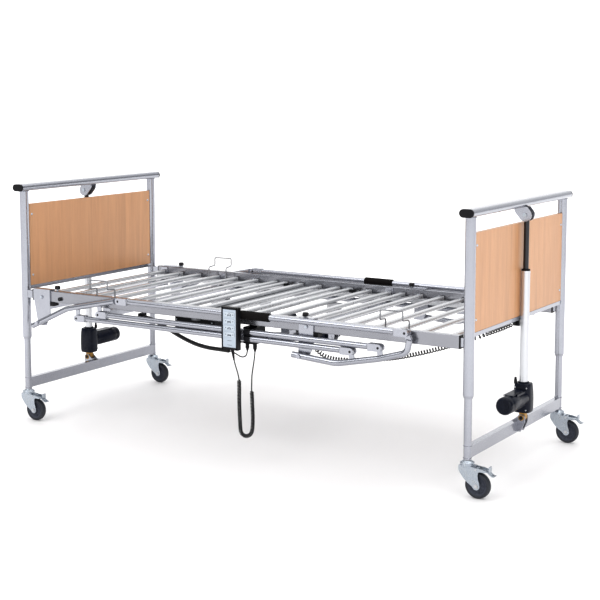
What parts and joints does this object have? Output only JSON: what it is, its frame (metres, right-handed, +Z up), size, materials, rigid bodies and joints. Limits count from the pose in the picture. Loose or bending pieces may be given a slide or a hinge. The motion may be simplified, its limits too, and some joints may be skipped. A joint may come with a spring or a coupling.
{
  "type": "adjustable hospital bed",
  "caption": "Adjustable hospital bed with slatted four-section platform, folding side rails, wooden end boards, electric lift legs on castors and a corded handset.",
  "frame": {"origin": "centre of the bounding box in plan, on the floor under the castors", "axes": "+X towards the foot end, +Y away from the side shown nearest in the picture, +Z up"},
  "size_m": [2.372, 1.0578, 1.077],
  "materials": {
    "powder_coat": "light silver-grey powder coat, satin",
    "slat_metal": "pale silver powder coat, satin",
    "beech": "beech veneer, satin lacquer",
    "black_plastic": "black moulded plastic, fine texture",
    "motor_plastic": "blue-black satin moulded plastic",
    "black_rod": "black coated steel",
    "zinc": "bluish zinc plating",
    "tyre": "dark grey rubber tread",
    "cord_rubber": "black cable sheath",
    "key_plastic": "pale grey-blue moulded plastic",
    "wire_steel": "light grey coated wire"
  },
  "bodies": {
    "main_frame": {"near_side_rail": "powder_coat", "far_side_rail": "powder_coat", "frame_cross_tubes": "powder_coat", "seat_section": "slat_metal", "head_end_frame": "powder_coat", "foot_end_frame": "powder_coat", "head_board": "beech", "foot_board": "beech", "head_lift_rod": "black_rod", "foot_lift_rod": "black_rod", "cot_side_clamps": "powder_coat", "locking_knobs": "black_plastic", "tube_end_caps": "black_plastic", "fasteners": "zinc", "control_box": "black_plastic", "handset_shell": "black_plastic", "handset_coil": "cord_rubber", "handset_leads": "cord_rubber", "head_cord_coil": "cord_rubber", "head_cord_lead": "cord_rubber", "foot_cord_coil": "cord_rubber"},
    "head_legs": {"head_leg_frame": "powder_coat", "head_lift_motor": "motor_plastic"},
    "foot_legs": {"foot_leg_frame": "powder_coat", "foot_lift_motor": "motor_plastic"},
    "backrest": {"backrest_section": "slat_metal", "head_retainers": "wire_steel"},
    "thigh": {"thigh_section": "slat_metal"},
    "calf": {"calf_section": "slat_metal", "foot_retainers": "wire_steel"},
    "backrest_motor": {"backrest_motor": "motor_plastic"},
    "backrest_rod": {"backrest_rod": "black_rod"},
    "thigh_motor": {"thigh_motor": "motor_plastic"},
    "thigh_rod": {"thigh_rod": "black_rod"},
    "head_near_fork": {"head_near_fork": "zinc"},
    "head_near_wheel": {"head_near_wheel": "tyre"},
    "head_near_brake": {"head_near_brake": "black_plastic"},
    "head_far_fork": {"head_far_fork": "zinc"},
    "head_far_wheel": {"head_far_wheel": "tyre"},
    "head_far_brake": {"head_far_brake": "black_plastic"},
    "foot_near_fork": {"foot_near_fork": "zinc"},
    "foot_near_wheel": {"foot_near_wheel": "tyre"},
    "foot_near_brake": {"foot_near_brake": "black_plastic"},
    "foot_far_fork": {"foot_far_fork": "zinc"},
    "foot_far_wheel": {"foot_far_wheel": "tyre"},
    "foot_far_brake": {"foot_far_brake": "black_plastic"},
    "near_head_upright": {"near_head_upright": "powder_coat"},
    "near_foot_upright": {"near_foot_upright": "powder_coat"},
    "near_bottom_bar": {"near_bottom_bar": "powder_coat"},
    "near_middle_bar": {"near_middle_bar": "powder_coat"},
    "near_top_bar": {"near_top_bar": "powder_coat"},
    "far_head_upright": {"far_head_upright": "powder_coat"},
    "far_foot_upright": {"far_foot_upright": "powder_coat"},
    "far_bottom_bar": {"far_bottom_bar": "powder_coat"},
    "far_middle_bar": {"far_middle_bar": "powder_coat"},
    "far_top_bar": {"far_top_bar": "powder_coat"},
    "handset_key_1": {"handset_key_1": "key_plastic"},
    "handset_key_2": {"handset_key_2": "key_plastic"},
    "handset_key_3": {"handset_key_3": "key_plastic"},
    "handset_key_4": {"handset_key_4": "key_plastic"}
  },
  "joints": [
    {"name": "head_lift", "type": "slide", "parent": "main_frame", "child": "head_legs", "axis": [0, 0, -1], "range_m": [-0.17, 0.23]},
    {"name": "foot_lift", "type": "slide", "parent": "main_frame", "child": "foot_legs", "axis": [0, 0, -1], "range_m": [-0.17, 0.23]},
    {"name": "head_near_swivel", "type": "hinge", "parent": "head_legs", "child": "head_near_fork", "pos_m": [-1.119, -0.4426, 0.12], "axis": [0, 0, 1], "continuous": true},
    {"name": "head_near_roll", "type": "hinge", "parent": "head_near_fork", "child": "head_near_wheel", "pos_m": [-1.074, -0.4426, 0.05], "axis": [0, 1, 0], "continuous": true},
    {"name": "head_near_pedal", "type": "hinge", "parent": "head_near_fork", "child": "head_near_brake", "pos_m": [-1.077, -0.4426, 0.112], "axis": [0, 1, 0], "range_deg": [0, 10]},
    {"name": "head_far_swivel", "type": "hinge", "parent": "head_legs", "child": "head_far_fork", "pos_m": [-1.119, 0.4694, 0.12], "axis": [0, 0, 1], "continuous": true},
    {"name": "head_far_roll", "type": "hinge", "parent": "head_far_fork", "child": "head_far_wheel", "pos_m": [-1.074, 0.4694, 0.05], "axis": [0, 1, 0], "continuous": true},
    {"name": "head_far_pedal", "type": "hinge", "parent": "head_far_fork", "child": "head_far_brake", "pos_m": [-1.077, 0.4694, 0.112], "axis": [0, 1, 0], "range_deg": [0, 10]},
    {"name": "foot_near_swivel", "type": "hinge", "parent": "foot_legs", "child": "foot_near_fork", "pos_m": [1.073, -0.4426, 0.12], "axis": [0, 0, 1], "continuous": true},
    {"name": "foot_near_roll", "type": "hinge", "parent": "foot_near_fork", "child": "foot_near_wheel", "pos_m": [1.118, -0.4426, 0.05], "axis": [0, 1, 0], "continuous": true},
    {"name": "foot_near_pedal", "type": "hinge", "parent": "foot_near_fork", "child": "foot_near_brake", "pos_m": [1.115, -0.4426, 0.112], "axis": [0, 1, 0], "range_deg": [0, 10]},
    {"name": "foot_far_swivel", "type": "hinge", "parent": "foot_legs", "child": "foot_far_fork", "pos_m": [1.073, 0.4694, 0.12], "axis": [0, 0, 1], "continuous": true},
    {"name": "foot_far_roll", "type": "hinge", "parent": "foot_far_fork", "child": "foot_far_wheel", "pos_m": [1.118, 0.4694, 0.05], "axis": [0, 1, 0], "continuous": true},
    {"name": "foot_far_pedal", "type": "hinge", "parent": "foot_far_fork", "child": "foot_far_brake", "pos_m": [1.115, 0.4694, 0.112], "axis": [0, 1, 0], "range_deg": [0, 10]},
    {"name": "backrest_hinge", "type": "hinge", "parent": "main_frame", "child": "backrest", "pos_m": [-0.255, 0.0134, 0.568], "axis": [0, 1, 0], "range_deg": [0, 70]},
    {"name": "backrest_motor_pivot", "type": "hinge", "parent": "main_frame", "child": "backrest_motor", "pos_m": [0.262, -0.0466, 0.455], "axis": [0, 1, 0], "range_deg": [0, 12.37]},
    {"name": "backrest_extend", "type": "slide", "parent": "backrest_motor", "child": "backrest_rod", "axis": [-0.9957, 0, -0.0932], "range_m": [0, 0.1387]},
    {"name": "thigh_hinge", "type": "hinge", "parent": "main_frame", "child": "thigh", "pos_m": [0.111, 0.0134, 0.568], "axis": [0, -1, 0], "range_deg": [0, 35]},
    {"name": "thigh_motor_pivot", "type": "hinge", "parent": "main_frame", "child": "thigh_motor", "pos_m": [-0.188, 0.1134, 0.47], "axis": [0, -1, 0], "range_deg": [0, 8.19]},
    {"name": "thigh_extend", "type": "slide", "parent": "thigh_motor", "child": "thigh_rod", "axis": [0.9909, 0, -0.1345], "range_m": [0, 0.0726]},
    {"name": "knee_hinge", "type": "hinge", "parent": "thigh", "child": "calf", "pos_m": [0.379, 0.0134, 0.568], "axis": [0, 1, 0], "range_deg": [0, 50.1]},
    {"name": "near_side_fold", "type": "hinge", "parent": "main_frame", "child": "near_head_upright", "pos_m": [-1.009, -0.4826, 0.462], "axis": [0, -1, 0], "range_deg": [0, 75]},
    {"name": "near_foot_upright_fold", "type": "hinge", "parent": "main_frame", "child": "near_foot_upright", "pos_m": [0.367, -0.4826, 0.462], "axis": [0, -1, 0], "range_deg": [0, 75]},
    {"name": "near_bottom_bar_level", "type": "hinge", "parent": "near_head_upright", "child": "near_bottom_bar", "pos_m": [-0.777, -0.4826, 0.505], "axis": [0, -1, 0], "range_deg": [-75, 0]},
    {"name": "near_middle_bar_level", "type": "hinge", "parent": "near_head_upright", "child": "near_middle_bar", "pos_m": [-0.655, -0.4826, 0.532], "axis": [0, -1, 0], "range_deg": [-75, 0]},
    {"name": "near_top_bar_level", "type": "hinge", "parent": "near_head_upright", "child": "near_top_bar", "pos_m": [-0.543, -0.4826, 0.6], "axis": [0, -1, 0], "range_deg": [-75, 0]},
    {"name": "far_side_fold", "type": "hinge", "parent": "main_frame", "child": "far_head_upright", "pos_m": [-0.983, 0.5094, 0.475], "axis": [0, -1, 0], "range_deg": [0, 75]},
    {"name": "far_foot_upright_fold", "type": "hinge", "parent": "main_frame", "child": "far_foot_upright", "pos_m": [0.393, 0.5094, 0.475], "axis": [0, -1, 0], "range_deg": [0, 75]},
    {"name": "far_bottom_bar_level", "type": "hinge", "parent": "far_head_upright", "child": "far_bottom_bar", "pos_m": [-0.751, 0.5094, 0.518], "axis": [0, -1, 0], "range_deg": [-75, 0]},
    {"name": "far_middle_bar_level", "type": "hinge", "parent": "far_head_upright", "child": "far_middle_bar", "pos_m": [-0.629, 0.5094, 0.545], "axis": [0, -1, 0], "range_deg": [-75, 0]},
    {"name": "far_top_bar_level", "type": "hinge", "parent": "far_head_upright", "child": "far_top_bar", "pos_m": [-0.517, 0.5094, 0.613], "axis": [0, -1, 0], "range_deg": [-75, 0]},
    {"name": "handset_key_1_rock", "type": "hinge", "parent": "main_frame", "child": "handset_key_1", "pos_m": [0.0595, -0.5225, 0.604], "axis": [0, 0, 1], "range_deg": [-4, 4], "stiffness_Nm_per_rad": 0.3},
    {"name": "handset_key_2_rock", "type": "hinge", "parent": "main_frame", "child": "handset_key_2", "pos_m": [0.0595, -0.5225, 0.577], "axis": [0, 0, 1], "range_deg": [-4, 4], "stiffness_Nm_per_rad": 0.3},
    {"name": "handset_key_3_rock", "type": "hinge", "parent": "main_frame", "child": "handset_key_3", "pos_m": [0.0595, -0.5225, 0.55], "axis": [0, 0, 1], "range_deg": [-4, 4], "stiffness_Nm_per_rad": 0.3},
    {"name": "handset_key_4_rock", "type": "hinge", "parent": "main_frame", "child": "handset_key_4", "pos_m": [0.0595, -0.5225, 0.523], "axis": [0, 0, 1], "range_deg": [-4, 4], "stiffness_Nm_per_rad": 0.3}
  ],
  "couplings": [
    {"joint": "foot_lift", "follows": "head_lift", "ratio": 1},
    {"joint": "backrest_motor_pivot", "follows": "backrest_hinge", "ratio": 0.17595},
    {"joint": "backrest_extend", "follows": "backrest_hinge", "m_per_rad": 0.11326},
    {"joint": "thigh_motor_pivot", "follows": "thigh_hinge", "ratio": 0.23258},
    {"joint": "thigh_extend", "follows": "thigh_hinge", "m_per_rad": 0.1183},
    {"joint": "knee_hinge", "follows": "thigh_hinge", "ratio": 1.43},
    {"joint": "near_foot_upright_fold", "follows": "near_side_fold", "ratio": 1},
    {"joint": "near_bottom_bar_level", "follows": "near_side_fold", "ratio": -1},
    {"joint": "near_middle_bar_level", "follows": "near_side_fold", "ratio": -1},
    {"joint": "near_top_bar_level", "follows": "near_side_fold", "ratio": -1},
    {"joint": "far_foot_upright_fold", "follows": "far_side_fold", "ratio": 1},
    {"joint": "far_bottom_bar_level", "follows": "far_side_fold", "ratio": -1},
    {"joint": "far_middle_bar_level", "follows": "far_side_fold", "ratio": -1},
    {"joint": "far_top_bar_level", "follows": "far_side_fold", "ratio": -1}
  ]
}
